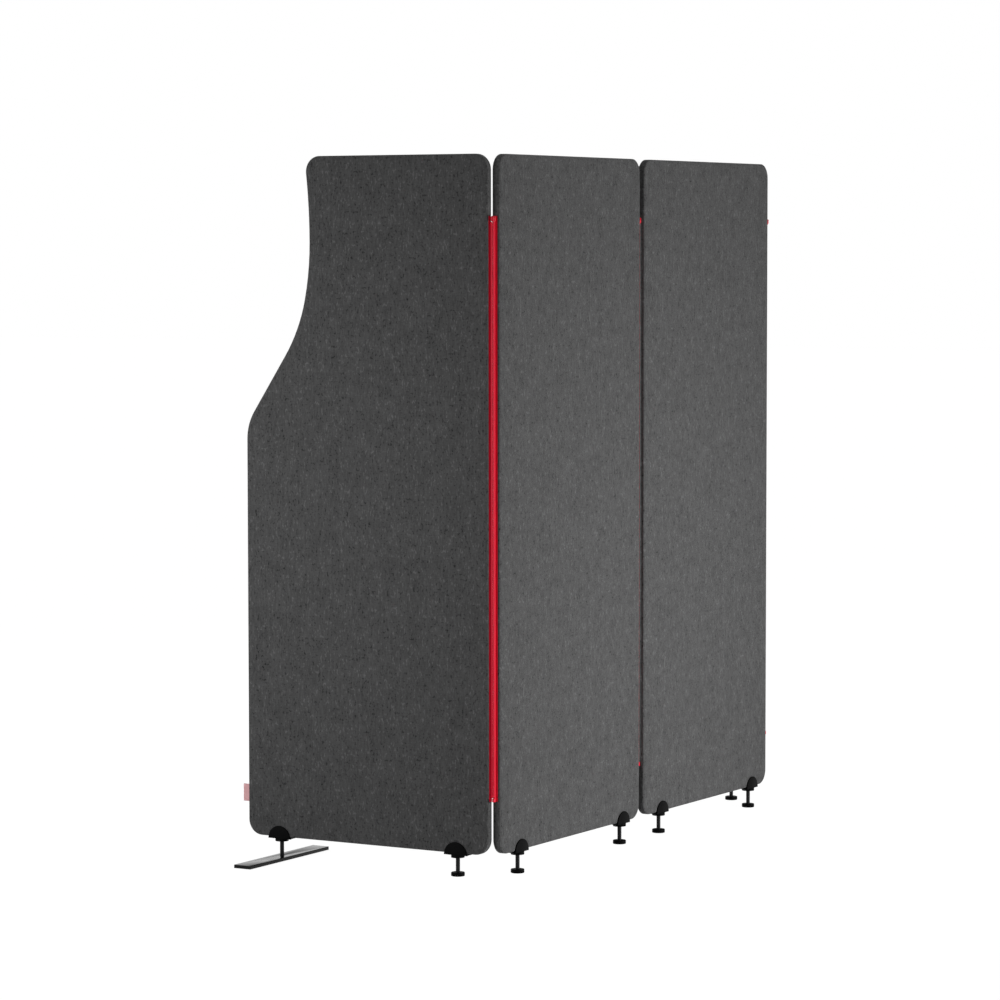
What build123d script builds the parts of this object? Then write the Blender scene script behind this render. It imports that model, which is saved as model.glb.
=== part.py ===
import os
from math import asin, cos, degrees, radians, sin

from build123d import *

os.makedirs("parts", exist_ok=True)

# A folding acoustic screen of four padded panels, joined edge to edge by three
# zips. Panels A and D have a curved free edge and stand square to B and C.
# Millimetres, Z up, floor at z = 0, X and Y centred on the whole screen.

# Panels
panel_height = 1596.5
panel_thickness = 20.0
straight_width = 672.0
curved_width = 658.0
corner_radius = 36.0
edge_bevel = 2.6

# Curved free edge, from the throat cut into the panel down to the full width
throat_inset = 177.0
throat_fall = 199.5
upper_radius = 1424.0
throat_radius = 645.0
throat_drop = 132.0
hip_radius = 376.0
hip_slope = 33.8
knee_radius = 117.0

# Layers of a panel
cover_skin = 1.6
cover_fit = 0.15
rail_depth = 22.0
core_fit = 0.2

# Zips
end_gap = 10.0
zip_base = 124.0
zip_fall = 140.5
tape_half_thickness = 0.6
bead_edge = 2.6
bead_width = 1.4
flange_half_width = 4.6
flange_thickness = 0.9
tooth_count = 24
tooth_reach = 1.5
tooth_half_thickness = 1.6
tooth_fit = 0.35
end_clearance = 0.5

# Zip sliders, their pulls and the bottom stops
slider_half_width = 5.3
slider_height = 13.0
slider_half_depth = 3.3
slider_plate = 1.4
slider_lip = 1.2
slider_post = 1.4
slider_shoulder = 2.6
slider_fit = 0.05
arch_half_width = 0.9
arch_reach = 2.8
arch_height = 3.6
arch_bar = 0.8
arch_drop = 0.7
pull_half_width = 2.4
pull_half_thickness = 0.6
pull_length = 8.0
pull_bevel = 0.7
pull_rim = 0.8
pull_window = 3.0
stop_half_width = 4.5
stop_half_depth = 2.6
stop_height = 8.0
stop_slot = 1.5
stop_bevel = 1.0

# Sewn label on the free edge of panel A
label_base = 77.0
label_height = 41.0
label_reach = 20.0
label_thickness = 1.4

# Feet
foot_height = 53.5
bracket_radius = 30.0
bracket_plate = 3.0
bracket_base = 4.0
bracket_fit = 0.1
boss_radius = 15.75
boss_height = 6.5
post_radius = 5.2
post_bottom = 2.0
post_engagement = 16.0
post_fit = 0.05
post_clearance = 0.6
glide_radius = 15.85
glide_height = 9.0
bar_width = 46.0
bar_length = 335.0
bar_thickness = 8.0
bar_corner = 1.5
bar_chamfer = 0.6

# Distance of the feet from the edges of their panel
curved_disc_inset = 86.0
curved_bar_inset = 88.0
straight_near_inset = 97.0
straight_far_inset = 84.0

# The zips stand one panel apart on one line
zip_pitch = straight_width + 2 * end_gap
reach_inward = end_gap + curved_width + label_reach
zip_x = (reach_inward - glide_radius) / 2
half_thickness = panel_thickness / 2

# Each panel is drawn on its own middle plane: origin at the foot of its zipped
# edge, X along the panel, Y up and Z out of the screen. The sign says which
# way the panel runs from that edge.
plane_a = Plane(origin=(zip_x - end_gap, -zip_pitch, foot_height), x_dir=(1, 0, 0), z_dir=(0, -1, 0))
plane_b = Plane(origin=(zip_x, -zip_pitch + end_gap, foot_height), x_dir=(0, 1, 0), z_dir=(1, 0, 0))
plane_c = Plane(origin=(zip_x, end_gap, foot_height), x_dir=(0, 1, 0), z_dir=(1, 0, 0))
plane_d = Plane(origin=(zip_x - end_gap, zip_pitch, foot_height), x_dir=(-1, 0, 0), z_dir=(0, 1, 0))

post_slit = 2 * (post_radius + post_clearance)
straight_feet = (straight_near_inset, straight_width - straight_far_inset)
curved_feet = (curved_disc_inset, curved_width - curved_bar_inset)
throat_width = curved_width - throat_inset


def draw_straight(side):
    """Outline of a straight panel, a plain rectangle before its corners are rounded."""
    with Locations((side * straight_width / 2, panel_height / 2)):
        Rectangle(straight_width, panel_height)


def draw_curved(side):
    """Outline of a curved panel: tangent arcs and lines down its free edge."""
    throat_turn = degrees(asin(throat_drop / throat_radius))
    upper_turn = degrees(asin(throat_fall / upper_radius))
    hip_out = throat_radius * (1 - cos(radians(throat_turn)))
    hip_out += hip_radius * (cos(radians(throat_turn)) - cos(radians(hip_slope)))
    knee_out = knee_radius * (1 - cos(radians(hip_slope)))
    slant = (curved_width - throat_width - hip_out - knee_out) / sin(radians(hip_slope))
    throat = (side * throat_width, panel_height - throat_fall)
    with BuildLine() as rim:
        upper = JernArc(throat, (0, 1), upper_radius, -side * upper_turn)
        Polyline(upper @ 1, (0, panel_height), (0, 0), (side * curved_width, 0))
        neck = JernArc(throat, (0, -1), throat_radius, side * throat_turn)
        hip = JernArc(neck @ 1, neck % 1, hip_radius, side * (hip_slope - throat_turn))
        flank = PolarLine(hip @ 1, slant, direction=hip % 1)
        knee = JernArc(flank @ 1, flank % 1, knee_radius, -side * hip_slope)
        Line(knee @ 1, (side * curved_width, 0))
    make_face(rim.edges())


def panel_face(draw, side, inset, corner):
    """The panel's flat face pulled in by inset, its outer corners rounded first."""
    with BuildSketch() as face:
        draw(side)
        if corner > 0:
            ends = face.vertices().group_by(Axis.Y)
            fillet(ends[0] + ends[-1], corner)
        if inset > 0:
            offset(amount=-inset, kind=Kind.INTERSECTION, mode=Mode.REPLACE)
    return face.sketch_local


def under_plane(plane, depth):
    """Level plane under a panel, X along it, Z up, depth below its bottom edge."""
    origin = plane.origin - plane.y_dir * depth
    return Plane(origin=origin, x_dir=plane.x_dir, z_dir=(0, 0, 1))


panels = {
    "a": (plane_a, draw_curved, -1, curved_feet),
    "b": (plane_b, draw_straight, 1, straight_feet),
    "c": (plane_c, draw_straight, 1, straight_feet),
    "d": (plane_d, draw_curved, 1, curved_feet),
}

for key, (plane, draw, side, feet) in panels.items():
    across = Axis(plane.origin, plane.z_dir)
    posts = [(side * foot, 0) for foot in feet]
    floor_plane = under_plane(plane, 0)

    # Fabric cover, a sleeve over the frame and the core, pierced for the posts
    with BuildPart() as cover:
        with BuildSketch(plane):
            add(panel_face(draw, side, 0, corner_radius))
        extrude(amount=half_thickness, both=True)
        rims = cover.faces().sort_by(across)
        chamfer(rims[0].edges() + rims[-1].edges(), edge_bevel)
        with BuildSketch(plane):
            add(panel_face(draw, side, cover_skin, corner_radius))
        extrude(amount=half_thickness - cover_skin, both=True, mode=Mode.SUBTRACT)
        with BuildSketch(floor_plane):
            with Locations(*posts):
                Rectangle(post_slit, post_slit)
        extrude(amount=2 * cover_skin, both=True, mode=Mode.SUBTRACT)
    cover.part.label = f"panel_{key}_cover"
    export_step(cover.part, f"parts/panel_{key}_cover.step")

    # Frame round the edge, mortised for the posts of the feet
    frame_inset = cover_skin + cover_fit
    frame_half = half_thickness - frame_inset
    with BuildPart() as frame:
        with BuildSketch(plane):
            add(panel_face(draw, side, frame_inset, corner_radius))
        extrude(amount=frame_half, both=True)
        with BuildSketch(plane):
            add(panel_face(draw, side, frame_inset + rail_depth, 0))
        extrude(amount=panel_thickness, both=True, mode=Mode.SUBTRACT)
        with BuildSketch(floor_plane):
            with Locations(*posts):
                Rectangle(post_slit, post_slit)
        extrude(amount=post_engagement + post_clearance, mode=Mode.SUBTRACT)
    frame.part.label = f"panel_{key}_frame"
    export_step(frame.part, f"parts/panel_{key}_frame.step")

    # Sound-absorbing slab inside the frame
    with BuildPart() as core:
        with BuildSketch(plane):
            add(panel_face(draw, side, frame_inset + rail_depth + core_fit, 0))
        extrude(amount=frame_half, both=True)
    core.part.label = f"panel_{key}_core"
    export_step(core.part, f"parts/panel_{key}_core.step")

    # Saddle brackets that clasp the bottom edge, one over each post
    cheek_gap = half_thickness + bracket_fit
    with BuildPart() as brackets:
        with BuildSketch(plane):
            with Locations(*[(place[0], -bracket_base) for place in posts]):
                Circle(bracket_radius)
            with Locations((side * curved_width / 2, -bracket_base - bracket_radius)):
                Rectangle(2 * curved_width, 2 * bracket_radius, mode=Mode.SUBTRACT)
        extrude(amount=cheek_gap + bracket_plate, both=True)
        with BuildSketch(plane):
            with Locations((side * curved_width / 2, bracket_radius)):
                Rectangle(2 * curved_width, 2 * bracket_radius)
        extrude(amount=cheek_gap, both=True, mode=Mode.SUBTRACT)
        with BuildSketch(under_plane(plane, bracket_base)):
            with Locations(*posts):
                Circle(boss_radius)
        extrude(amount=-boss_height)
        with BuildSketch(under_plane(plane, bracket_base + boss_height)):
            with Locations(*posts):
                Circle(post_radius + post_fit)
        extrude(amount=2 * bracket_radius, mode=Mode.SUBTRACT)
    brackets.part.label = f"panel_{key}_brackets"
    export_step(brackets.part, f"parts/panel_{key}_brackets.step")

    # Feet: a levelling post on a round glide, or on a bar at the curved end
    ground = under_plane(plane, foot_height)
    for order, place in enumerate(posts, start=1):
        on_bar = key in "ad" and order == 2
        post_low = post_bottom if on_bar else glide_height
        with BuildPart() as post:
            with BuildSketch(ground.offset(post_low)):
                with Locations(place):
                    Circle(post_radius)
            extrude(amount=foot_height - post_low + post_engagement)
        post.part.label = f"panel_{key}_post_{order}"
        export_step(post.part, f"parts/panel_{key}_post_{order}.step")

        if on_bar:
            # Flat bar across the panel, which keeps the free end upright
            with BuildPart() as bar:
                with BuildSketch(ground):
                    with Locations(place):
                        RectangleRounded(bar_width, bar_length, bar_corner)
                extrude(amount=bar_thickness)
                chamfer(bar.faces().sort_by(Axis.Z)[-1].edges(), bar_chamfer)
                with BuildSketch(ground.offset(post_bottom)):
                    with Locations(place):
                        Circle(post_radius + post_fit)
                extrude(amount=bar_thickness, mode=Mode.SUBTRACT)
            bar.part.label = f"panel_{key}_bar"
            export_step(bar.part, f"parts/panel_{key}_bar.step")
        else:
            with BuildPart() as glide:
                with BuildSketch(ground):
                    with Locations(place):
                        Circle(glide_radius)
                extrude(amount=glide_height)
            glide.part.label = f"panel_{key}_glide_{order}"
            export_step(glide.part, f"parts/panel_{key}_glide_{order}.step")


# Zips. Each edge frame stands at the foot of the zip, on the line that both
# tapes turn about: X runs to the panel, Z up.
zip_low = foot_height + zip_base
zip_length = panel_height - zip_base - zip_fall
tooth_zone = zip_length - slider_height - stop_height - 2 * end_clearance
tooth_pitch = tooth_zone / tooth_count
tooth_height = tooth_pitch / 2 - tooth_fit


def edge_frame(y, heading):
    """Level frame on a zip line, X pointing to the panel that the edge is on."""
    return Plane(origin=(zip_x, y, zip_low), x_dir=heading, z_dir=(0, 0, 1))


def upright_plane(frame):
    """Upright plane in the tape of an edge frame, X to the panel, Y up."""
    return Plane(origin=frame.origin, x_dir=frame.x_dir, z_dir=-frame.y_dir)


def tape_half(frame, first_slot, carrier):
    """Tape with its sewn flange, its bead and its row of teeth; the carrier is full length."""
    flange_start = end_gap - flange_thickness
    web_start = bead_edge + bead_width
    web_width = flange_start - web_start
    web_bottom = 0 if carrier else stop_height + end_clearance
    web_height = zip_length if carrier else tooth_zone
    with BuildPart() as tape:
        with BuildSketch(frame):
            with Locations((flange_start + flange_thickness / 2, 0)):
                Rectangle(flange_thickness, 2 * flange_half_width)
        extrude(amount=zip_length)
        with BuildSketch(frame.offset(web_bottom)):
            with Locations((web_start + web_width / 2, 0)):
                Rectangle(web_width, 2 * tape_half_thickness)
        extrude(amount=web_height)
        tooth_zone_bottom = stop_height + end_clearance
        first_middle = tooth_zone_bottom + (first_slot + 0.5) * tooth_pitch / 2
        row_middle = first_middle + (tooth_count - 1) * tooth_pitch / 2
        with BuildSketch(upright_plane(frame)):
            with Locations((bead_edge + bead_width / 2, tooth_zone_bottom + tooth_zone / 2)):
                Rectangle(bead_width, tooth_zone)
            with Locations(((bead_edge - tooth_reach) / 2, row_middle)):
                with GridLocations(tooth_pitch, tooth_pitch, 1, tooth_count):
                    Rectangle(bead_edge + tooth_reach, tooth_height)
        extrude(amount=tooth_half_thickness, both=True)
    return tape


zips = {
    "ab": (-zip_pitch, "a", (-1, 0, 0), "b", (0, 1, 0), -1),
    "bc": (0, "c", (0, 1, 0), "b", (0, -1, 0), 1),
    "cd": (zip_pitch, "d", (-1, 0, 0), "c", (0, -1, 0), 1),
}

for key, (y, plain_side, plain_heading, carrier_side, carrier_heading, outward) in zips.items():
    plain_frame = edge_frame(y, plain_heading)
    carrier_frame = edge_frame(y, carrier_heading)

    plain_tape = tape_half(plain_frame, 0, False)
    plain_tape.part.label = f"zip_{key}_tape_{plain_side}"
    export_step(plain_tape.part, f"parts/zip_{key}_tape_{plain_side}.step")

    carrier_tape = tape_half(carrier_frame, 1, True)
    carrier_tape.part.label = f"zip_{key}_tape_{carrier_side}"
    export_step(carrier_tape.part, f"parts/zip_{key}_tape_{carrier_side}.step")

    # Slider at the top of the closed zip: two plates, turned-in lips and a post
    slider_low = zip_length - slider_height
    front = upright_plane(carrier_frame)
    side_plane = Plane(
        origin=carrier_frame.origin,
        x_dir=carrier_frame.y_dir,
        z_dir=carrier_frame.x_dir,
    )
    inner_depth = slider_half_depth - slider_plate
    lip_gap = tape_half_thickness + slider_fit
    pin_out = outward * (slider_half_depth + (arch_reach - arch_bar) / 2)
    pin_up = zip_length - arch_drop - arch_height / 2
    with BuildPart() as slider:
        with BuildSketch(carrier_frame.offset(slider_low)):
            Rectangle(2 * slider_half_width, 2 * slider_half_depth)
            Rectangle(2 * slider_half_width, 2 * inner_depth, mode=Mode.SUBTRACT)
            Rectangle(2 * slider_post, 2 * slider_half_depth)
            lip_x = slider_half_width - slider_lip / 2
            lip_y = (inner_depth + lip_gap) / 2
            with Locations((lip_x, lip_y), (-lip_x, lip_y), (lip_x, -lip_y), (-lip_x, -lip_y)):
                Rectangle(slider_lip, inner_depth - lip_gap)
        extrude(amount=slider_height)
        with BuildSketch(front):
            with Locations((0, slider_low + slider_height / 2)):
                Rectangle(2 * slider_half_width, slider_height)
            chamfer(vertices(), slider_shoulder)
        extrude(amount=slider_half_depth, both=True, mode=Mode.INTERSECT)
        with BuildSketch(side_plane):
            with Locations((outward * (slider_half_depth + arch_reach / 2), pin_up)):
                Rectangle(arch_reach, arch_height)
            with Locations((pin_out, pin_up)):
                Rectangle(arch_reach - arch_bar, arch_height - 2 * arch_bar, mode=Mode.SUBTRACT)
        extrude(amount=arch_half_width, both=True)
    slider.part.label = f"zip_{key}_slider"
    export_step(slider.part, f"parts/zip_{key}_slider.step")

    # Pull: a short tab with a window; its round top bar turns in the slider's arch
    with BuildPart() as pull:
        with BuildSketch(front.offset(-pin_out)):
            with Locations((0, pin_up - pull_length / 2)):
                Rectangle(2 * pull_half_width, pull_length)
            chamfer(vertices().group_by(Axis.Y)[0], pull_bevel)
            with Locations((0, pin_up - pull_window / 2)):
                Rectangle(2 * (pull_half_width - pull_rim), pull_window, mode=Mode.SUBTRACT)
        extrude(amount=pull_half_thickness, both=True)
        with BuildSketch(side_plane):
            with Locations((pin_out, pin_up)):
                Circle(pull_half_thickness)
        extrude(amount=pull_half_width, both=True)
    pull.part.label = f"zip_{key}_pull"
    export_step(pull.part, f"parts/zip_{key}_pull.step")

    # Stop box at the foot of the chain
    with BuildPart() as stop:
        with BuildSketch(carrier_frame):
            Rectangle(2 * stop_half_width, 2 * stop_half_depth)
            chamfer(vertices(), stop_bevel)
            with Locations(((stop_slot + stop_half_width) / 2 + 1, 0)):
                Rectangle(stop_half_width - stop_slot + 2, 2 * lip_gap, mode=Mode.SUBTRACT)
        extrude(amount=stop_height)
    stop.part.label = f"zip_{key}_stop"
    export_step(stop.part, f"parts/zip_{key}_stop.step")


# Blank folded label, sewn into the seam of panel A's free edge
with BuildPart() as label:
    with BuildSketch(plane_a):
        with Locations((-curved_width - label_reach / 2, label_base + label_height / 2)):
            Rectangle(label_reach, label_height)
    extrude(amount=label_thickness / 2, both=True)
    outer_edges = label.edges().filter_by(Axis.Z).group_by(Axis.X)[0]
    fillet(outer_edges, 0.4 * label_thickness)
label.part.label = "edge_label"
export_step(label.part, "parts/edge_label.step")
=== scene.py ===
from math import asin, cos, pi, radians, sin

import bmesh
import bpy
from mathutils import Matrix, Vector


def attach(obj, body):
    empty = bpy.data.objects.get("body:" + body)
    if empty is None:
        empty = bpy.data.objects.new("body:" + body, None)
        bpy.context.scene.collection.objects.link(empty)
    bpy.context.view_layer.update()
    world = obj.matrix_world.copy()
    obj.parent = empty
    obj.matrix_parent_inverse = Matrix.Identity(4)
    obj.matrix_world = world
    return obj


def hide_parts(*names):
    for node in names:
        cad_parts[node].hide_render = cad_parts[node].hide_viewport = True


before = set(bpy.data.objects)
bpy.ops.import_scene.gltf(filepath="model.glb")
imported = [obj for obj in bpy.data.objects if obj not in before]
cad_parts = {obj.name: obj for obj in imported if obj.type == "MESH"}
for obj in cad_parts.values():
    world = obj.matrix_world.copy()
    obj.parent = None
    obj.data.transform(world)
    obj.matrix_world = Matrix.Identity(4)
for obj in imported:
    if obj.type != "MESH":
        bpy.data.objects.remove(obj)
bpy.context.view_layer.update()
scene = bpy.context.scene

# Sizes shared with the CAD, in metres
ZIP_PITCH = 0.692
END_GAP = 0.010
FOOT_HEIGHT = 0.0535
PANEL_HEIGHT = 1.5965
PANEL_HALF = 0.010
STRAIGHT_WIDTH = 0.672
CURVED_WIDTH = 0.658
CORNER_RADIUS = 0.036
LABEL_REACH = 0.020
PULL_REACH = 0.01585
ZIP_X = (END_GAP + CURVED_WIDTH + LABEL_REACH - PULL_REACH) / 2
ZIP_RISE = 0.124
ZIP_DROP = 0.1405
ZIP_LOW = FOOT_HEIGHT + ZIP_RISE
ZIP_LENGTH = PANEL_HEIGHT - ZIP_RISE - ZIP_DROP
SLIDER_HEIGHT = 0.013
STOP_HEIGHT = 0.008
POST_INSETS = {"a": (0.086, 0.570), "b": (0.097, 0.588), "c": (0.097, 0.588), "d": (0.086, 0.570)}
POST_ENGAGEMENT = 0.016
ROD_END = 0.0007
GLIDE_HEIGHT = 0.009
BAR_SEAT = 0.002
SADDLE_UNDERSIDE = 0.0495
SCREW_SPREAD = 0.0225

# Half a zip: distances from its chain, half thicknesses and heights
FLANGE_FRONT = 0.0091
FLANGE_BACK = END_GAP - 0.00005
FLANGE_HALF = 0.0046
FLANGE_CORNER = 0.0014
LIP_END = 0.0029
LIP_HALF = 0.0016
WEB_START = 0.0040
WEB_BY_STOP = 0.0054
WEB_END = FLANGE_BACK - 0.0004
WEB_HALF = 0.0006
CORD = [(0.0022, 0.0005), (0.0027, 0.0010), (0.0036, 0.0010), (0.0042, 0.0005)]
CHAIN_LOW = STOP_HEIGHT + 0.0005
CHAIN_HIGH = ZIP_LENGTH - SLIDER_HEIGHT - 0.0005
CHAIN_STEPS = 40
TOOTH_PITCH = 0.0026
TEETH_START = STOP_HEIGHT + 0.001
TEETH_COUNT = int((ZIP_LENGTH - SLIDER_HEIGHT - STOP_HEIGHT - 0.003) / TOOTH_PITCH)
STITCH_PITCH = 0.0036
STITCH_INSET = 0.004
FLANGE_SEAM_DEPTH = 0.0032
HEM_SEAM_X = 0.0064
TAPE_SEAM_X = 0.0074

# Widths of the rounded edges on rigid pieces
BRACKET_EDGE = 0.0006
GLIDE_EDGE = 0.0016
BAR_EDGE = 0.0004
SLIDER_EDGE = 0.0003
PULL_EDGE = 0.0002

# Short runs that make the quarter circle at a panel's corner
CORNER_STEPS = 12

# Camera at the photograph's angle
camera_data = bpy.data.cameras.new("photo_camera")
camera_data.lens = 135.91
camera_data.sensor_width = 36.0
camera_data.clip_end = 60.0
camera = bpy.data.objects.new("photo_camera", camera_data)
camera.location = (4.6668, -8.0490, 1.4412)
camera.rotation_euler = (radians(90 - 3.845), radians(0.05), radians(30.383))
scene.collection.objects.link(camera)
scene.camera = camera


# Finishes


class Value:
    """What one socket of a graph gives; Python's arithmetic can be written on it."""

    def __init__(self, graph, socket):
        self.graph = graph
        self.socket = socket

    def also(self, output):
        """Another output of the same node."""
        return Value(self.graph, self.socket.node.outputs[output])

    def maths(self, operation, *others, turned=False):
        terms = [*others, self] if turned else [self, *others]
        return self.graph.node("ShaderNodeMath", {"operation": operation}, dict(enumerate(terms)))

    def __add__(self, other):
        return self.maths("ADD", other)

    def __sub__(self, other):
        return self.maths("SUBTRACT", other)

    def __rsub__(self, other):
        return self.maths("SUBTRACT", other, turned=True)

    def __mul__(self, other):
        return self.maths("MULTIPLY", other)

    def __truediv__(self, other):
        return self.maths("DIVIDE", other)

    def __rtruediv__(self, other):
        return self.maths("DIVIDE", other, turned=True)

    def __mod__(self, other):
        return self.maths("FLOORED_MODULO", other)

    __radd__ = __add__
    __rmul__ = __mul__

    def floor(self):
        return self.maths("FLOOR")

    def arch(self):
        """Zero at whole numbers and one half way between them."""
        return (self * pi).maths("SINE").maths("ABSOLUTE")

    def between(self, low, high):
        """Zero up to low, one from high, and smooth between."""
        names = {"Value": self, "From Min": low, "From Max": high}
        return self.graph.node("ShaderNodeMapRange", {"interpolation_type": "SMOOTHSTEP"}, names)


class Graph:
    """A tree of nodes with one way to add to it."""

    def __init__(self, tree):
        self.tree = tree
        tree.nodes.clear()

    def node(self, kind, settings=None, values=None, output=0):
        """A node, its settings made first and then its sockets, as a Value of one output."""
        node = self.tree.nodes.new(kind)
        for name, setting in (settings or {}).items():
            setattr(node, name, setting)
        for name, value in (values or {}).items():
            socket = self.socket(node.inputs, name)
            if isinstance(value, Value):
                self.tree.links.new(value.socket, socket)
            else:
                socket.default_value = value
        return Value(self, self.socket(node.outputs, output))

    @staticmethod
    def socket(sockets, name):
        if isinstance(name, int):
            return sockets[name]
        by_identifier = {s.identifier: s for s in sockets}
        return by_identifier.get(name) or sockets[name]

    def end(self, kind, result):
        """The node that a tree ends with, which takes its result."""
        last = self.tree.nodes.new(kind)
        self.tree.links.new(result.socket, last.inputs[0])

    def place(self, x, y, z=0.0):
        return self.node("ShaderNodeCombineXYZ", None, {"X": x, "Y": y, "Z": z})

    def split(self, where):
        return [self.node("ShaderNodeSeparateXYZ", None, {0: where}, i) for i in range(3)]

    def seen_plainly(self):
        """One for what the camera sees, itself, mirrored or through something, and else zero."""
        rays = [self.node("ShaderNodeLightPath", None, None, f"Is {kind} Ray")
                for kind in ("Camera", "Glossy", "Transmission")]
        return (rays[0] + rays[1] + rays[2]).maths("MINIMUM", 1.0)


class Finish(Graph):
    """A material of the screen and the nodes that make it."""

    def __init__(self, name):
        self.material = bpy.data.materials.new(name)
        self.material.use_nodes = True
        super().__init__(self.material.node_tree)

    def noise(self, where, scale=1.0, detail=2.0, roughness=0.5, dimensions="3D"):
        settings = {"noise_dimensions": dimensions}
        values = {"Vector": where, "Scale": scale, "Detail": detail, "Roughness": roughness}
        return self.node("ShaderNodeTexNoise", settings, values)

    def blend(self, share, first, second):
        """Colour that goes from first to second with share."""
        values = {"Factor_Float": share, "A_Color": first, "B_Color": second}
        return self.node("ShaderNodeMix", {"data_type": "RGBA"}, values, "Result_Color")

    def shade(self, tone, colour):
        """A colour made lighter or darker by a number."""
        grey = self.node("ShaderNodeCombineColor", None, {0: tone, 1: tone, 2: tone})
        values = {"Factor_Float": 1.0, "A_Color": colour, "B_Color": grey}
        settings = {"data_type": "RGBA", "blend_type": "MULTIPLY"}
        return self.node("ShaderNodeMix", settings, values, "Result_Color")

    def object_place(self):
        return self.node("ShaderNodeTexCoord", None, None, "Object")

    def uv_place(self, name):
        return self.node("ShaderNodeUVMap", {"uv_map": name})

    def bump(self, height, distance, strength=1.0):
        values = {"Height": height, "Distance": distance, "Strength": strength}
        return self.node("ShaderNodeBump", None, values)

    def finish(self, **sockets):
        values = {name.replace("_", " "): value for name, value in sockets.items()}
        shader = self.node("ShaderNodeBsdfPrincipled", None, values)
        self.end("ShaderNodeOutputMaterial", shader)
        return self.material


def panel_fabric():
    """Dark grey melange cloth in plain weave, its warp flecked light and dark."""
    f = Finish("panel_fabric")
    yarn = 0.00125
    u, v, _ = f.split(f.uv_place("cloth"))
    across, along = u / yarn, v / yarn
    warp, weft = across.floor(), along.floor()
    over = (warp + weft) % 2.0
    warp_tone = f.noise(f.place(warp * 3.71, v / 0.016), dimensions="2D", detail=1.0)
    weft_tone = f.noise(f.place(u / 0.014, weft * 2.93), dimensions="2D", detail=1.0)
    streak = f.noise(f.place(u / 0.0062, v / 0.026), dimensions="2D", detail=3.0, roughness=0.62)
    patch = f.noise(f.place(u / 0.055, v / 0.075), dimensions="2D", detail=2.0)
    cloud = f.noise(f.place(u / 0.020, v / 0.028), dimensions="2D", detail=2.0)
    tone = 1.0 + (streak - 0.5) * 0.80 + (patch - 0.5) * 0.30
    tone = tone + over * (warp_tone - 0.5) * 1.0 + (1.0 - over) * (weft_tone - 0.5) * 0.8
    light = f.noise(f.place(u / 0.0044, v / 0.0085), dimensions="2D", detail=1.0).between(0.59, 0.66)
    dark = f.noise(f.place(u / 0.0050 + 41.0, v / 0.0062 + 17.0), dimensions="2D", detail=1.0)
    light = light * cloud.between(0.47, 0.62)
    dark = dark.between(0.60, 0.68) * (1.0 - cloud).between(0.42, 0.6)
    tone = tone + light * (0.45 + 0.4 * over) - dark * 0.58
    relief = over * across.arch() * (0.55 + 0.45 * along.arch())
    relief = relief + (1.0 - over) * along.arch() * (0.55 + 0.45 * across.arch())
    fuzz = f.noise(f.place(u / 0.0005, v / 0.0008), dimensions="2D", detail=2.0)
    # The weave's relief also sets the colour, darker at each yarn's edges where the weave dips: painted shade
    # between the yarns
    tone = tone * (0.72 + 0.36 * relief) * (0.9 + 0.2 * fuzz)
    colour = f.shade(tone, (0.0815, 0.0815, 0.0820, 1.0))
    height = relief * 0.7 + fuzz * 0.2 + streak * 0.35
    return f.finish(
        Base_Color=colour,
        Roughness=0.86 + 0.1 * fuzz,
        Sheen_Weight=0.12,
        Sheen_Roughness=0.45,
        Specular_IOR_Level=0.2,
        Normal=f.bump(height, 0.00035, 0.8),
    )


def zip_cloth():
    """Red herringbone tape of the zips."""
    f = Finish("zip_cloth")
    x, y, z = f.split(f.object_place())
    level = x + y
    rib = (z + ((level / 0.0024) % 2.0 - 1.0).maths("ABSOLUTE") * 0.0012) / 0.0008
    # The tone follows the ribs' relief, lighter on their crowns and darker in the grooves between: painted
    # shade
    tone = 0.80 + 0.26 * rib.arch() + 0.16 * (f.noise(f.object_place(), 260.0) - 0.5)
    return f.finish(
        Base_Color=f.shade(tone, (0.87, 0.0100, 0.046, 1.0)),
        Roughness=0.72 + 0.12 * rib.arch(),
        Specular_IOR_Level=0.2,
        Normal=f.bump(rib.arch(), 0.00018, 0.7),
    )


def zip_plastic():
    """Red moulded teeth, slightly glossy, a little paler where rubbed."""
    f = Finish("zip_plastic")
    where = f.object_place()
    wear = f.noise(where, 90.0, 3.0).between(0.52, 0.75)
    colour = f.blend(wear * 0.5, (0.82, 0.0095, 0.040, 1.0), (0.88, 0.030, 0.062, 1.0))
    return f.finish(
        Base_Color=colour,
        Roughness=0.44 + 0.14 * f.noise(where, 700.0),
        Specular_IOR_Level=0.3,
        Normal=f.bump(f.noise(where, 1500.0), 0.00004, 0.5),
    )


def zip_enamel():
    """Red enamelled metal of the sliders, pulls and stops, thin on their edges."""
    f = Finish("zip_enamel")
    where = f.object_place()
    worn = f.node("ShaderNodeNewGeometry", None, None, "Pointiness").between(0.53, 0.60)
    worn = worn * f.noise(where, 420.0, 3.0).between(0.45, 0.62)
    colour = f.blend(worn * 0.45, (0.80, 0.016, 0.042, 1.0), (0.86, 0.09, 0.11, 1.0))
    return f.finish(
        Base_Color=colour,
        Roughness=0.34 + 0.2 * f.noise(where, 330.0),
        Specular_IOR_Level=0.22,
        Coat_Weight=0.06,
        Coat_Roughness=0.2,
        Normal=f.bump(f.noise(where, 900.0), 0.00005, 0.4),
    )


def black_plastic():
    """Black moulded plastic of the brackets and glides, with a fine spark texture."""
    f = Finish("black_plastic")
    where = f.object_place()
    grain = f.noise(where, 1400.0, 2.0)
    scuff = f.noise(where, 60.0, 4.0).between(0.5, 0.8)
    colour = f.blend(scuff * 0.6, (0.0030, 0.0030, 0.0031, 1.0), (0.0075, 0.0075, 0.0078, 1.0))
    return f.finish(
        Base_Color=colour,
        Roughness=0.42 + 0.16 * grain + 0.1 * scuff,
        Specular_IOR_Level=0.02,
        Normal=f.bump(grain, 0.00008, 0.5),
    )


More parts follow.
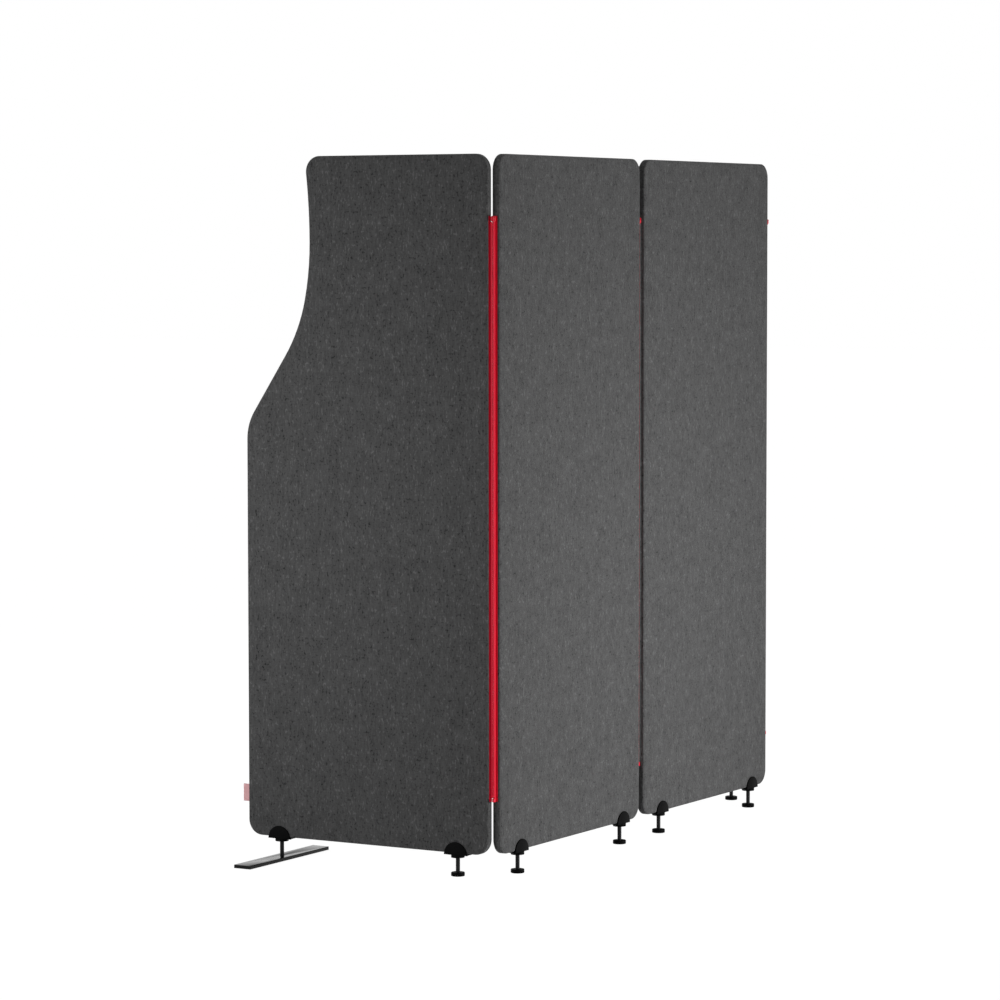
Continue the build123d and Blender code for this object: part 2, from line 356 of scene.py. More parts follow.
def black_steel():
    """Blackened steel of the levelling posts."""
    f = Finish("black_steel")
    where = f.object_place()
    mottle = f.noise(where, 130.0, 4.0)
    return f.finish(
        Base_Color=f.blend(mottle, (0.006, 0.006, 0.0065, 1.0), (0.016, 0.016, 0.0165, 1.0)),
        Metallic=0.5,
        Specular_IOR_Level=0.15,
        Roughness=0.34 + 0.2 * mottle,
        Normal=f.bump(f.noise(where, 800.0), 0.00005, 0.4),
    )


def bar_coating():
    """Black powder coating of the flat bars: smooth, with a slight orange peel."""
    f = Finish("bar_coating")
    where = f.object_place()
    peel = f.noise(where, 420.0, 2.0)
    dust = f.noise(where, 35.0, 4.0).between(0.45, 0.8)
    return f.finish(
        Base_Color=f.blend(dust, (0.0045, 0.0045, 0.0048, 1.0), (0.009, 0.009, 0.0093, 1.0)),
        Roughness=0.10 + 0.05 * dust + 0.03 * peel,
        Specular_IOR_Level=0.12,
        Normal=f.bump(peel, 0.00002, 0.15),
    )


def label_cloth():
    """Pale pink woven label, left blank."""
    f = Finish("label_cloth")
    x, y, z = f.split(f.object_place())
    warp = ((x - y) / 0.00045).arch()
    weft = (z / 0.0006).arch()
    # The tone follows the weave's relief, lighter on the threads and darker between them: painted shade
    tone = 0.86 + 0.12 * weft + 0.07 * warp + 0.12 * (f.noise(f.object_place(), 180.0) - 0.5)
    return f.finish(
        Base_Color=f.shade(tone, (0.86, 0.47, 0.49, 1.0)),
        Roughness=0.66 + 0.1 * weft,
        Sheen_Weight=0.1,
        Normal=f.bump(weft + warp * 0.6, 0.00012, 0.6),
    )


def sewing_thread():
    """Dark grey twisted thread of the hems."""
    f = Finish("sewing_thread")
    x, y, z = f.split(f.object_place())
    twist = ((z * 1.6 + x + y) / 0.0007).arch()
    return f.finish(
        # The tone follows the twist's relief, lighter on each crest and darker in the groove: painted shade
        Base_Color=f.shade(0.7 + 0.5 * twist, (0.060, 0.060, 0.0605, 1.0)),
        Roughness=0.6 + 0.2 * twist,
        Specular_IOR_Level=0.2,
        Normal=f.bump(twist, 0.00008, 0.6),
    )


def zinc_screw():
    """Black zinc of the bracket screws."""
    f = Finish("black_zinc")
    where = f.object_place()
    mottle = f.noise(where, 500.0, 3.0)
    return f.finish(
        Base_Color=f.blend(mottle, (0.020, 0.020, 0.022, 1.0), (0.055, 0.055, 0.058, 1.0)),
        Metallic=0.85,
        Roughness=0.3 + 0.2 * mottle,
        Normal=f.bump(mottle, 0.00004, 0.4),
    )


def pine_wood():
    """Planed softwood of the hidden frames."""
    f = Finish("pine_wood")
    x, y, z = f.split(f.object_place())
    rings = f.noise(f.place((x + y) * 9.0, (x - y) * 9.0, z * 0.7), 6.0, 4.0, 0.6)
    line = (rings * 14.0).arch()
    return f.finish(
        Base_Color=f.blend(line, (0.52, 0.36, 0.20, 1.0), (0.68, 0.51, 0.31, 1.0)),
        Roughness=0.55 + 0.15 * line,
        Normal=f.bump(line, 0.0002, 0.4),
    )


FABRIC = panel_fabric()
ZIP_CLOTH = zip_cloth()
ZIP_PLASTIC = zip_plastic()
ZIP_ENAMEL = zip_enamel()
BLACK_PLASTIC = black_plastic()
BLACK_STEEL = black_steel()
BAR_COATING = bar_coating()
LABEL_CLOTH = label_cloth()
THREAD = sewing_thread()
ZINC = zinc_screw()
PINE = pine_wood()


# Placing pieces


class Board:
    """A panel's own middle plane: X along it, Y up from its foot, Z out of the screen."""

    def __init__(self, origin, along, out, side, width):
        self.origin = Vector(origin)
        self.along = Vector(along)
        self.out = Vector(out)
        self.side = side
        self.width = width

    def at(self, x, y, z):
        return self.origin + self.along * x + Vector((0, 0, y)) + self.out * z


BOARDS = {
    "a": Board((ZIP_X - END_GAP, -ZIP_PITCH, FOOT_HEIGHT), (1, 0, 0), (0, -1, 0), -1, CURVED_WIDTH),
    "b": Board((ZIP_X, END_GAP - ZIP_PITCH, FOOT_HEIGHT), (0, 1, 0), (1, 0, 0), 1, STRAIGHT_WIDTH),
    "c": Board((ZIP_X, END_GAP, FOOT_HEIGHT), (0, 1, 0), (1, 0, 0), 1, STRAIGHT_WIDTH),
    "d": Board((ZIP_X - END_GAP, ZIP_PITCH, FOOT_HEIGHT), (-1, 0, 0), (0, 1, 0), 1, CURVED_WIDTH),
}


def new_piece(name, mesh, material, body, smooth=40):
    """Names a finished mesh, gives it its finish and lets it ride on its body."""
    mesh.name = name
    piece = bpy.data.objects.new(name, mesh)
    scene.collection.objects.link(piece)
    mesh.materials.clear()
    mesh.materials.append(material)
    mesh.polygons.foreach_set("use_smooth", [True] * len(mesh.polygons))
    mesh.set_sharp_from_angle(angle=radians(smooth))
    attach(piece, body)
    return piece


def arc(centre, radius, start, end, steps):
    """Points on an arc, angles in degrees."""
    turns = [radians(start + (end - start) * i / steps) for i in range(steps + 1)]
    return [(centre[0] + radius * cos(t), centre[1] + radius * sin(t)) for t in turns]


def corner(centre, start):
    """Points on the quarter circle at a panel's corner, counter-clockwise from an angle."""
    return arc(centre, CORNER_RADIUS, start, start + 90, CORNER_STEPS)


def run(start, end, step=0.04):
    """Points on a straight run, without its ends."""
    length = (Vector(end) - Vector(start)).length
    count = max(1, round(length / step))
    return [tuple(Vector(start).lerp(Vector(end), i / count)) for i in range(1, count)]


def straight_outline():
    """Outline of a straight panel, counter-clockwise from its lower zipped corner."""
    w, h, r = STRAIGHT_WIDTH, PANEL_HEIGHT, CORNER_RADIUS
    points = corner((r, r), 180)
    points += run((r, 0), (w - r, 0)) + corner((w - r, r), 270)
    points += run((w, r), (w, h - r)) + corner((w - r, h - r), 0)
    points += run((w - r, h), (r, h)) + corner((r, h - r), 90)
    return points + run((0, h - r), (0, r))


def curved_outline():
    """Outline of a curved panel: tangent arcs up its free edge, zipped edge at x = 0."""
    w, h, r = CURVED_WIDTH, PANEL_HEIGHT, CORNER_RADIUS
    throat_w, throat_y = 0.481, PANEL_HEIGHT - 0.1995
    upper_r, throat_r, hip_r, knee_r = 1.424, 0.645, 0.376, 0.117
    throat_drop, slant_turn = 0.132, 33.8
    throat_turn = asin(throat_drop / throat_r)
    slope = radians(slant_turn)
    hip_x = throat_w + throat_r * (1 - cos(throat_turn))
    hip_y = throat_y - throat_drop
    flank_x = hip_x + hip_r * (cos(throat_turn) - cos(slope))
    flank_y = hip_y - hip_r * (sin(slope) - sin(throat_turn))
    slant = (w - flank_x - knee_r * (1 - cos(slope))) / sin(slope)
    knee_x, knee_y = flank_x + slant * sin(slope), flank_y - slant * cos(slope)
    low_y = knee_y - knee_r * sin(slope)
    points = corner((r, r), 180) + run((r, 0), (w - r, 0))
    points += corner((w - r, r), 270) + run((w, r), (w, low_y))
    points += arc((w - knee_r, low_y), knee_r, 0, slant_turn, 8)
    points += run((knee_x, knee_y), (flank_x, flank_y))
    centre = (flank_x + hip_r * cos(slope), flank_y + hip_r * sin(slope))
    points += arc(centre, hip_r, 180 + slant_turn, 180 + throat_turn * 180 / pi, 8)
    centre = (throat_w + throat_r, throat_y)
    points += arc(centre, throat_r, 180 + throat_turn * 180 / pi, 180, 5)[1:]
    # The corner at the top touches the upper arc and the top edge
    reach = upper_r + r
    top_y = h - r
    lean = asin((top_y - throat_y) / reach)
    corner_x = throat_w + upper_r - reach * cos(lean)
    centre = (throat_w + upper_r, throat_y)
    points += arc(centre, upper_r, 180, 180 - lean * 180 / pi, 6)[1:-1]
    return points, corner_x, top_y, lean


def curved_ring():
    """Closed outline of a curved panel."""
    w, h, r = CURVED_WIDTH, PANEL_HEIGHT, CORNER_RADIUS
    points, corner_x, top_y, lean = curved_outline()
    points += arc((corner_x, top_y), r, -lean * 180 / pi, 90, CORNER_STEPS)
    points += run((corner_x, h), (r, h)) + corner((r, h - r), 90)
    return points + run((0, h - r), (0, r))


def edge_profile():
    """Section of the padded edge: inset from the outline, height off the middle, way along the cloth."""
    half, bend = PANEL_HALF, 0.0042
    face = [(0.030, half), (0.020, half - 0.00004), (0.012, half - 0.00014), (0.0065, half - 0.0003)]
    face += [(0.0052, half - 0.00040), (0.0047, half - 0.0008), (0.0042, half - 0.0005)]
    turn = [(bend * (1 - sin(t)), half - 0.0005 - (bend - 0.0005) * (1 - cos(t))) for t in
            (radians(a) for a in (12, 30, 48, 66, 84))]
    strip = [(0.0001, 0.0040), (0.0, 0.0022), (0.0, 0.0)]
    return face + turn + strip


# Where the cloth of a panel's far side begins, so that its flecks differ from the near side's
FAR_CLOTH = Vector((3.0, 0.7))


def padded_panel(key, outline):
    """Padded panel in its cloth: two faces that round into the strip between them."""
    board = BOARDS[key]
    if board.side < 0:
        outline = [(-x, y) for x, y in reversed(outline)]
    count = len(outline)
    points = [Vector(p) for p in outline]
    normals = []
    for i, p in enumerate(points):
        before = (p - points[i - 1]).normalized()
        after = (points[(i + 1) % count] - p).normalized()
        left = Vector((before.y + after.y, -before.x - after.x)).normalized()
        normals.append(left / max(0.5, left.dot(Vector((after.y, -after.x)))))
    profile = edge_profile()
    way = [0.0]
    for (d0, z0), (d1, z1) in zip(profile, profile[1:]):
        way.append(way[-1] + Vector((d1 - d0, z1 - z0)).length)
    sheet = bmesh.new()
    cloth = sheet.loops.layers.uv.new("cloth")
    rings = []
    for side in (1, -1):
        stack = []
        for (inset, height), length in zip(profile, way):
            ring = []
            for p, n in zip(points, normals):
                q = p - n * inset
                flat = p + n * (length - profile[0][0])
                spot = sheet.verts.new(board.at(q.x, q.y, side * height))
                ring.append((spot, flat if side > 0 else flat + FAR_CLOTH))
            stack.append(ring)
        rings.append(stack)
    # The two sides share the ring on the middle plane
    rings[1][-1] = [(near, flat) for (near, _), (_, flat) in zip(rings[0][-1], rings[1][-1])]
    for stack, flip in zip(rings, (False, True)):
        quads = []
        for inner, outer in zip(stack, stack[1:]):
            for i in range(count):
                j = (i + 1) % count
                quads.append([inner[i], outer[i], outer[j], inner[j]])
        quads.append([stack[0][i] for i in range(count)])
        for corners in quads:
            corners = corners[::-1] if flip else corners
            face = sheet.faces.new([spot for spot, _ in corners])
            for loop, (_, flat) in zip(face.loops, corners):
                loop[cloth].uv = flat
    loose = [v for v in sheet.verts if not v.link_faces]
    bmesh.ops.delete(sheet, geom=loose, context="VERTS")
    mesh = bpy.data.meshes.new("panel")
    sheet.to_mesh(mesh)
    sheet.free()
    piece = new_piece(f"padded_panel_{key}", mesh, FABRIC, f"panel_{key}", 75)
    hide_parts(f"panel_{key}_cover", f"panel_{key}_core")
    return piece


for key in "abcd":
    padded_panel(key, curved_ring() if key in "ad" else straight_outline())


# Rigid pieces with softened edges


def softened(node, name, material, width, body, angle=35, segments=2):
    """The CAD piece with its sharp edges rounded over, as moulding or tumbling leaves them."""
    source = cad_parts[node]
    work = bmesh.new()
    work.from_mesh(source.data)
    bmesh.ops.remove_doubles(work, verts=work.verts, dist=1e-6)
    bmesh.ops.dissolve_limit(work, angle_limit=radians(0.8), verts=work.verts, edges=work.edges)
    sharp = [e for e in work.edges if e.is_manifold and e.calc_face_angle() > radians(angle)]
    bmesh.ops.bevel(work, geom=sharp, offset=width, segments=segments, profile=0.5,
                    affect="EDGES", clamp_overlap=True)
    mesh = bpy.data.meshes.new(name)
    work.to_mesh(mesh)
    work.free()
    piece = new_piece(name, mesh, material, body)
    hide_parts(node)
    return piece


for key in "abcd":
    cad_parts[f"panel_{key}_frame"].data.materials.clear()
    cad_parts[f"panel_{key}_frame"].data.materials.append(PINE)
    softened(f"panel_{key}_brackets", f"saddle_brackets_{key}", BLACK_PLASTIC,
             BRACKET_EDGE, f"panel_{key}")
    for order in (1, 2):
        if key in "bc" or order == 1:
            softened(f"panel_{key}_glide_{order}", f"glide_{key}{order}", BLACK_PLASTIC,
                     GLIDE_EDGE, f"foot_{key}{order}", segments=3)
for key in "ad":
    softened(f"panel_{key}_bar", f"flat_bar_{key}", BAR_COATING, BAR_EDGE, f"bar_{key}")


# What repeats: threads, screws, zip teeth and stitches


ROW_INPUTS = {
    "Count": "NodeSocketInt",
    "First": "NodeSocketVector",
    "Step": "NodeSocketVector",
    "Turn": "NodeSocketVector",
    "Finish": "NodeSocketMaterial",
}


class Row(Graph):
    """Geometry Nodes tree that sets one shape at equal steps along a straight line."""

    def __init__(self, name, sizes):
        tree = bpy.data.node_groups.new(name, "GeometryNodeTree")
        for label, kind in ROW_INPUTS.items():
            tree.interface.new_socket(name=label, in_out="INPUT", socket_type=kind)
        for label, size in sizes.items():
            socket = tree.interface.new_socket(name=label, in_out="INPUT", socket_type="NodeSocketFloat")
            socket.default_value = size
        tree.interface.new_socket(name="Geometry", in_out="OUTPUT", socket_type="NodeSocketGeometry")
        super().__init__(tree)
        self.inputs = tree.nodes.new("NodeGroupInput")

    def given(self, label):
        return Value(self, self.inputs.outputs[label])

    def join(self, *shapes):
        whole = self.node("GeometryNodeJoinGeometry")
        for shape in shapes:
            self.tree.links.new(shape.socket, whole.socket.node.inputs[0])
        return whole

    def moved(self, shape, x=0.0, y=0.0, z=0.0):
        values = {"Geometry": shape, "Translation": self.place(x, y, z)}
        return self.node("GeometryNodeTransform", None, values)

    def cylinder(self, radius, depth, sides):
        values = {"Vertices": sides, "Radius": radius, "Depth": depth}
        return self.node("GeometryNodeMeshCylinder", None, values)

    def ring(self, radius, sides):
        values = {"Resolution": sides, "Radius": radius}
        return self.node("GeometryNodeCurvePrimitiveCircle", {"mode": "RADIUS"}, values)

    def copies_of(self, shape):
        """Ends the tree: the row as plain mesh in its finish."""
        values = {name: self.given(label) for name, label in
                  (("Count", "Count"), ("Start Location", "First"), ("Offset", "Step"))}
        line = self.node("GeometryNodeMeshLine", {"mode": "OFFSET"}, values)
        values = {"Points": line, "Instance": shape, "Rotation": self.given("Turn")}
        copies = self.node("GeometryNodeInstanceOnPoints", None, values)
        plain = self.node("GeometryNodeRealizeInstances", None, {"Geometry": copies})
        values = {"Geometry": plain, "Material": self.given("Finish")}
        self.end("NodeGroupOutput", self.node("GeometryNodeSetMaterial", None, values))
        return self.tree


def zip_teeth():
    """Teeth: a round head on the line of the chain, a neck and a body that clasps the tape."""
    row = Row("zip_teeth", {"Head": 0.00165, "Thickness": 0.00105})
    head = row.cylinder(row.given("Head"), row.given("Thickness"), 10)
    neck = row.node("GeometryNodeMeshCube", None, {"Size": (0.0022, 0.0012, 0.0009)})
    body = row.node("GeometryNodeMeshCube", None, {"Size": (0.0019, 0.0028, 0.0017)})
    return row.copies_of(row.join(head, row.moved(neck, 0.0021), row.moved(body, 0.0038)))


def stitches():
    """Sewn stitches, each a short raised loop of thread along Z."""
    row = Row("stitches", {"Length": 0.0026, "Thread": 0.00030})
    values = {"Segments": 6, "Rings": 5, "Radius": 1.0}
    bead = row.node("GeometryNodeMeshUVSphere", None, values)
    thread = row.given("Thread")
    size = row.place(thread, thread, row.given("Length") * 0.5)
    return row.copies_of(row.node("GeometryNodeTransform", None, {"Geometry": bead, "Scale": size}))


def button_screws():
    """Heads of button screws, seen from below: a rim with a bevel round a hexagon socket."""
    row = Row("button_screws", {"Head": 0.0038, "Height": 0.0021, "Key": 0.00145})
    height = row.given("Height")
    outline = row.join(row.ring(row.given("Head"), 24), row.ring(row.given("Key"), 6))
    face = row.node("GeometryNodeFillCurve", {"mode": "NGONS"}, {"Curve": outline})
    lower = row.node("GeometryNodeExtrudeMesh", None,
                     {"Mesh": face, "Offset Scale": height * 0.55, "Individual": False})
    values = {"Mesh": lower, "Selection": lower.also("Top"), "Offset Scale": height * 0.45,
              "Individual": False}
    dome = row.node("GeometryNodeExtrudeMesh", None, values)
    values = {"Geometry": dome, "Selection": dome.also("Top"), "Scale": 0.78}
    dome = row.node("GeometryNodeScaleElements", None, values)
    floor = row.cylinder(row.given("Key") * 1.1, height * 0.2, 6)
    whole = row.join(dome, row.moved(floor, z=height * 0.1))
    values = {"Geometry": whole, "Rotation": (pi, 0.0, 0.0)}
    return row.copies_of(row.node("GeometryNodeTransform", None, values))


def threaded_rods():
    """Rods with a thread from end to end, standing on their place."""
    row = Row("threaded_rods", {"Length": 0.06, "Core": 0.0046, "Thread": 0.0006, "Pitch": 0.0015})
    length, core = row.given("Length"), row.given("Core")
    spiral = row.node("GeometryNodeCurveSpiral", None, {
        "Resolution": 20, "Rotations": length / row.given("Pitch"),
        "Start Radius": core, "End Radius": core, "Height": length})
    upright = row.node("GeometryNodeSetCurveNormal", {"mode": "Z_UP"}, {"Curve": spiral})
    crest = row.ring(row.given("Thread"), 3)
    thread = row.node("GeometryNodeCurveToMesh", None,
                      {"Curve": upright, "Profile Curve": crest, "Fill Caps": True})
    past_thread = 0.0004
    rod = row.moved(row.cylinder(core, length + 2 * past_thread, 24), z=length * 0.5)
    return row.copies_of(row.join(thread, rod))


TEETH = zip_teeth()
STITCHES = stitches()
SCREWS = button_screws()
RODS = threaded_rods()


def made_by(tree, values):
    """Plain mesh that a tree makes from named values."""
    holder = bpy.data.objects.new("maker", bpy.data.meshes.new("maker"))
    scene.collection.objects.link(holder)
    modifier = holder.modifiers.new("make", "NODES")
    modifier.node_group = tree
    for item in tree.interface.items_tree:
        if item.item_type == "SOCKET" and item.in_out == "INPUT" and item.name in values:
            modifier[item.identifier] = values[item.name]
    graph = bpy.context.evaluated_depsgraph_get()
    mesh = bpy.data.meshes.new_from_object(holder.evaluated_get(graph), depsgraph=graph)
    holder.modifiers.clear()
    bpy.data.objects.remove(holder)
    return mesh


def joined(meshes):
    """One mesh of several."""
    whole = bmesh.new()
    for mesh in meshes:
        whole.from_mesh(mesh)
    out = bpy.data.meshes.new("joined")
    whole.to_mesh(out)
    whole.free()
    return out


def row_of(tree, first, step, count, finish, turn=0.0, **sizes):
    """Row made by a tree from its first place, step and count."""
    values = {"Count": count, "First": tuple(first), "Step": tuple(step),
              "Turn": (0.0, 0.0, turn), "Finish": finish}
    return made_by(tree, values | sizes)


def foot_hardware(key):
    """Threaded posts of a panel's feet and the screws that hold its brackets."""
    board = BOARDS[key]
    screws = []
    for order, inset in enumerate(POST_INSETS[key], start=1):
        on_bar = key in "ad" and order == 2
        low = BAR_SEAT if on_bar else GLIDE_HEIGHT
        foot = board.at(board.side * inset, low - FOOT_HEIGHT, 0.0)
        length = FOOT_HEIGHT - low + POST_ENGAGEMENT - 2 * ROD_END
        rod = row_of(RODS, foot + Vector((0, 0, ROD_END)), (0, 0, 0), 1, BLACK_STEEL, Length=length)
        post = new_piece(f"levelling_post_{key}{order}", rod, BLACK_STEEL, f"foot_{key}{order}",
                         30)
        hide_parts(f"panel_{key}_post_{order}")
        under = board.at(board.side * inset - SCREW_SPREAD, SADDLE_UNDERSIDE - FOOT_HEIGHT, 0.0)
        step = board.along * 2 * SCREW_SPREAD
        screws.append(row_of(SCREWS, under, step, 2, ZINC))
    new_piece(f"bracket_screws_{key}", joined(screws), ZINC, f"panel_{key}", 30)


for key in "abcd":
    foot_hardware(key)


# Zips


def mirrored(side):
    """Closed section from one half of it: distance from the chain, and depth."""
    return side + [(x, -d) for x, d in reversed(side)]


def levels_between(low, high, count):
    return [low + (high - low) * i / count for i in range(count + 1)]


def woven_bar(sheet, place, rings):
    """Closed bar through rings of one count, each a height and a section, laid out as cloth."""
    cloth = sheet.loops.layers.uv.verify()
    made = [[sheet.verts.new(place @ Vector((x, d, z))) for x, d in ring] for z, ring in rings]
    for below, above, (low, ring), (high, _) in zip(made, made[1:], rings, rings[1:]):
        way = [0.0]
        for a, b in zip(ring, ring[1:] + ring[:1]):
            way.append(way[-1] + (Vector(b) - Vector(a)).length)
        for i in range(len(below)):
            j = (i + 1) % len(below)
            face = sheet.faces.new([below[j], below[i], above[i], above[j]])
            flat = [(way[i + 1], low), (way[i], low), (way[i], high), (way[i + 1], high)]
            for loop, spot in zip(face.loops, flat):
                loop[cloth].uv = spot
    sheet.faces.new(made[0])
    sheet.faces.new(made[-1][::-1])


def bars_mesh(bars, place):
    """Mesh of closed woven bars with the map that the cloth reads."""
    sheet = bmesh.new()
    sheet.loops.layers.uv.new("cloth")
    for rings in bars:
        woven_bar(sheet, place, rings)
    bmesh.ops.recalc_face_normals(sheet, faces=sheet.faces)
    mesh = bpy.data.meshes.new("bars")
    sheet.to_mesh(mesh)
    sheet.free()
    return mesh


def flange_bar(painted_shade_hem):
    """Flange on the panel's edge; on a hemmed zip, a hem of the panel's dark cloth with a lip over the tape.
    This is painted shade: a dark sheet laid over the red tape where the slit between panels B and C is only
    in shade.
    """
    short = [(FLANGE_FRONT + 0.0002, 0.0012), (FLANGE_FRONT + 0.0002, 0.0008)]
    lip = [(FLANGE_FRONT - 0.0010, LIP_HALF), (LIP_END, LIP_HALF)] if painted_shade_hem else short

    def section(half, root):
        return mirrored([(FLANGE_BACK, half), (FLANGE_FRONT + 0.0003, half), (FLANGE_FRONT, half - 0.0005),
                         (FLANGE_FRONT - 0.0001, half * 0.5), *root])

    rounded = [(FLANGE_CORNER * (1 - cos(t)), FLANGE_CORNER * (1 - sin(t)))
               for t in (0.0, 0.4, 0.8, 1.2, pi / 2)]
    rings = [(z, section(FLANGE_HALF - cut, short)) for z, cut in rounded]
    rings += [(CHAIN_LOW, section(FLANGE_HALF, short))]
    lip_levels = levels_between(CHAIN_LOW + 0.001, CHAIN_HIGH - 0.001, CHAIN_STEPS)
    rings += [(z, section(FLANGE_HALF, lip)) for z in lip_levels]
    rings += [(CHAIN_HIGH, section(FLANGE_HALF, short))]
    return rings + [(ZIP_LENGTH - z, section(FLANGE_HALF - cut, short)) for z, cut in reversed(rounded)]


def tape_bars(web_low, web_high):
    """Web and cord of one tape; a web that stops short goes on beside the stop box."""
    web = mirrored([(WEB_START, WEB_HALF), (WEB_END, WEB_HALF)])
    bars = [[(z, web) for z in levels_between(web_low, web_high, CHAIN_STEPS)],
            [(z, mirrored(CORD)) for z in levels_between(CHAIN_LOW, CHAIN_HIGH, CHAIN_STEPS)]]
    if web_low > 0.0:
        beside = mirrored([(WEB_BY_STOP, WEB_HALF), (WEB_END, WEB_HALF)])
        bars.append([(0.0, beside), (web_low, beside)])
    return bars


def zip_tape(key, y, letter, heading, carrier, painted_shade_hem):
    """One half of a zip: flange on the panel's edge, web, cord, teeth and stitches.

    A hemmed zip has the panel's dark cloth hemmed over it, up to the heads of the teeth. This is painted
    shade: a dark sheet over the red tape where the slit is only in shade.
    """
    body = f"panel_{letter}"
    turn = radians(heading)
    place = Matrix.Translation((ZIP_X, y, ZIP_LOW)) @ Matrix.Rotation(turn, 4, "Z")
    web_low, web_high = (0.0, ZIP_LENGTH) if carrier else (CHAIN_LOW, CHAIN_HIGH)
    # On the hemmed zip the edge piece takes the dark panel cloth instead of the red tape: painted shade
    finish, slot, thread = (FABRIC, "cover_fabric", THREAD) if painted_shade_hem else (ZIP_CLOTH, "zip_tape", ZIP_CLOTH)
    new_piece(f"zip_{key}_edge_{letter}", bars_mesh([flange_bar(painted_shade_hem)], place), finish, body, 60)
    cloth = new_piece(f"zip_{key}_cloth_{letter}", bars_mesh(tape_bars(web_low, web_high), place),
                      ZIP_CLOTH, body)
    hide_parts(f"zip_{key}_tape_{letter}")

    # The teeth of the two halves lie half a pitch apart
    first = place @ Vector((0, 0, TEETH_START + TOOTH_PITCH * (1.0 if carrier else 0.5)))
    teeth = row_of(TEETH, first, (0, 0, TOOTH_PITCH), TEETH_COUNT, ZIP_PLASTIC, turn)
    new_piece(f"zip_{key}_teeth_{letter}", teeth, ZIP_PLASTIC, body, 30)

    tape_x, tape_d = (HEM_SEAM_X, LIP_HALF) if painted_shade_hem else (TAPE_SEAM_X, WEB_HALF)
    for name, x, d, low, high in (
        ("edge_stitches", FLANGE_FRONT, FLANGE_SEAM_DEPTH, 0.0, ZIP_LENGTH),
        ("tape_stitches", tape_x, tape_d, web_low, web_high),
    ):
        count = int((high - low - 2 * STITCH_INSET) / STITCH_PITCH)
        rows = []
        for side in (1, -1):
            first = place @ Vector((x, side * d, low + STITCH_INSET))
            rows.append(row_of(STITCHES, first, (0, 0, STITCH_PITCH), count, thread, turn))
        new_piece(f"zip_{key}_{name}_{letter}", joined(rows), thread, body, 60)


for key, y, plain, plain_heading, carrier, carrier_heading in (
    ("ab", -ZIP_PITCH, "a", 180, "b", 90),
    ("bc", 0.0, "c", 90, "b", -90),
    ("cd", ZIP_PITCH, "d", 180, "c", -90),
):
    # The zip between B and C gets a hem of dark panel cloth over its red tape: painted shade for the deep
    # slit between the two panels
    painted_shade_hem = key == "bc"
    zip_tape(key, y, plain, plain_heading, False, painted_shade_hem)
    zip_tape(key, y, carrier, carrier_heading, True, painted_shade_hem)
    softened(f"zip_{key}_slider", f"slider_{key}", ZIP_ENAMEL, SLIDER_EDGE, f"panel_{carrier}")
    softened(f"zip_{key}_stop", f"stop_{key}", ZIP_ENAMEL, SLIDER_EDGE, f"panel_{carrier}")
    softened(f"zip_{key}_pull", f"pull_tab_{key}", ZIP_ENAMEL, PULL_EDGE, f"pull_{key}")


# Label


def sewn_label():
    """Blank woven label: one strip folded over, both ends sewn into the edge of panel A."""
    board = BOARDS["a"]
    low, high = 0.077, 0.118
    leaf = [(-0.0010, 0.00036), (0.004, 0.00034), (0.009, 0.00038), (0.014, 0.00046), (0.0180, 0.00056)]
    fold = [(0.0192 + 0.00058 * cos(radians(t)), 0.00058 * sin(radians(t))) for t in (75, 45, 15)]
    half = leaf + fold
    line = half + [(x, -z) for x, z in reversed(half)]
    rows, ripple, ripples = 14, 0.00012, 9.0
    strip = bmesh.new()
    rings = []
    for i in range(rows + 1):
        y = low + (high - low) * i / rows
        lift = ripple * sin(ripples * i / rows)
        rings.append([strip.verts.new(board.at(-CURVED_WIDTH - x, y, z + lift * x / LABEL_REACH))
                      for x, z in line])
    for below, above in zip(rings, rings[1:]):
        for i in range(len(line) - 1):
            strip.faces.new([below[i], below[i + 1], above[i + 1], above[i]])
    bmesh.ops.recalc_face_normals(strip, faces=strip.faces)
    mesh = bpy.data.meshes.new("label")
    strip.to_mesh(mesh)
    strip.free()
    piece = new_piece("sewn_label", mesh, LABEL_CLOTH, "panel_a", 60)
    cloth = piece.modifiers.new("cloth", "SOLIDIFY")
    cloth.thickness = 0.0004
    cloth.offset = 0.0
    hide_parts("edge_label")


# Room and light


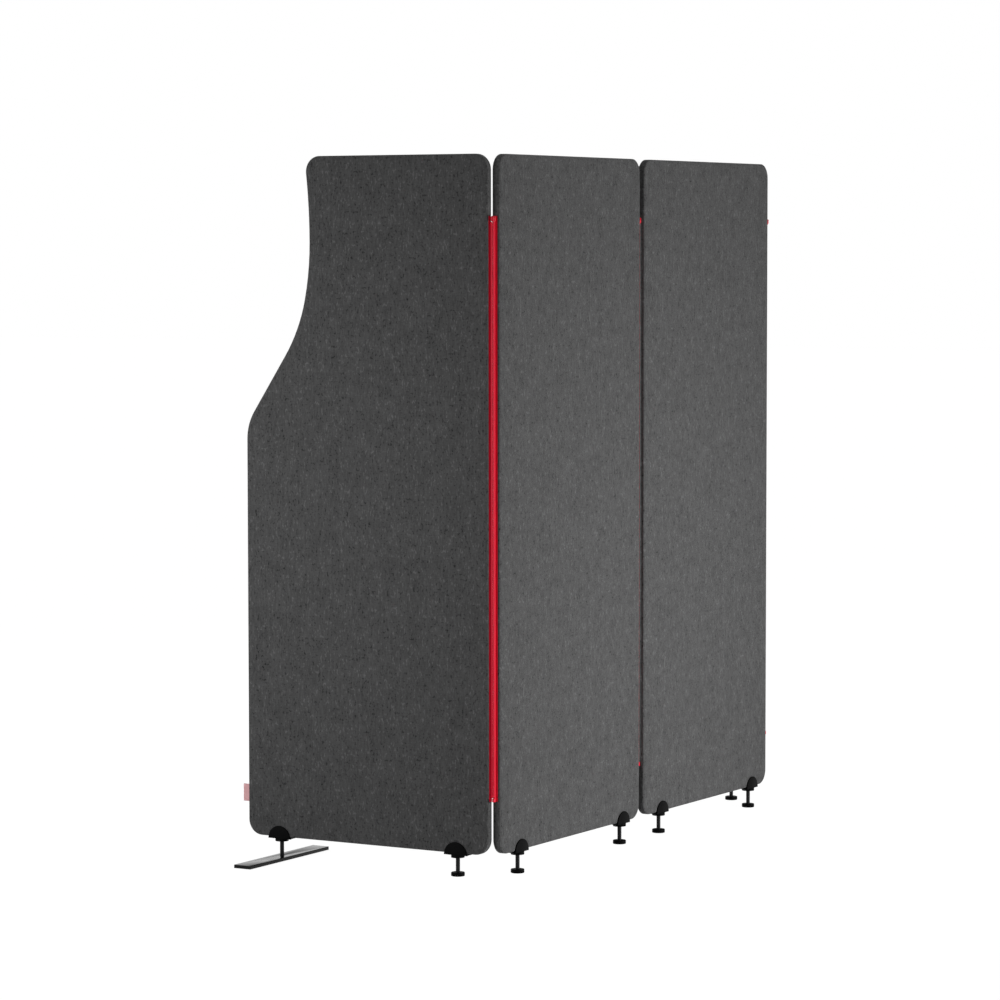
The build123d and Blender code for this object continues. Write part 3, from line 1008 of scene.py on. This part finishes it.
def pale_floor():
    """Broad white floor, which keeps the screen's shadow."""
    sweep = bmesh.new()
    reach = 40
    corners = [(-reach, -reach), (reach, -reach), (reach, reach), (-reach, reach)]
    sweep.faces.new([sweep.verts.new((x, y, 0.0)) for x, y in corners])
    mesh = bpy.data.meshes.new("pale_floor")
    sweep.to_mesh(mesh)
    sweep.free()
    floor = bpy.data.objects.new("pale_floor", mesh)
    scene.collection.objects.link(floor)
    f = Finish("floor_white")
    shown = f.seen_plainly()
    matt = f.node("ShaderNodeBsdfDiffuse", None, {"Color": (0.86, 0.86, 0.86, 1.0)})
    glow = f.node("ShaderNodeEmission", None, {"Color": (1.0, 1.0, 1.0, 1.0), "Strength": 1.20})
    mix = f.node("ShaderNodeMixShader", None, {0: shown * 0.80, 1: matt, 2: glow})
    f.end("ShaderNodeOutputMaterial", mix)
    mesh.materials.append(f.material)


# Each lamp's place, aim, size, spread in degrees and power
LAMPS = (
    ("right_softbox", (4.22, 0.88, 0.58), (0.34, -0.13, 0.43), 1.2, 70, 26.0),
    ("front_softbox", (-1.5, -3.6, 0.90), (-0.26, -0.7, 0.90), 1.2, 56, 6.6),
    ("back_softbox", (-4.0, 0.9, 1.3), (0.3, 0.0, 0.7), 2.0, 180, 70.0),
)


def room_light():
    """Even white room with three soft lamps: right, front and, for the far side, back."""
    world = bpy.data.worlds.new("white_room")
    scene.world = world
    world.use_nodes = True
    room = Graph(world.node_tree)
    pure = (1.0, 1.0, 1.0, 1.0)
    soft = room.node("ShaderNodeBackground", None, {"Color": pure, "Strength": 0.25})
    white = room.node("ShaderNodeBackground", None, {"Color": pure, "Strength": 1.0})
    mix = room.node("ShaderNodeMixShader", None, {0: room.seen_plainly(), 1: soft, 2: white})
    room.end("ShaderNodeOutputWorld", mix)
    for name, spot, aim, size, spread, power in LAMPS:
        lamp = bpy.data.lights.new(name, "AREA")
        lamp.shape = "SQUARE"
        lamp.size = size
        lamp.energy = power
        lamp.spread = radians(spread)
        holder = bpy.data.objects.new(name, lamp)
        holder.location = spot
        holder.rotation_euler = (Vector(aim) - Vector(spot)).to_track_quat("-Z", "Y").to_euler()
        scene.collection.objects.link(holder)


sewn_label()
pale_floor()
room_light()
scene.view_settings.view_transform = "Standard"
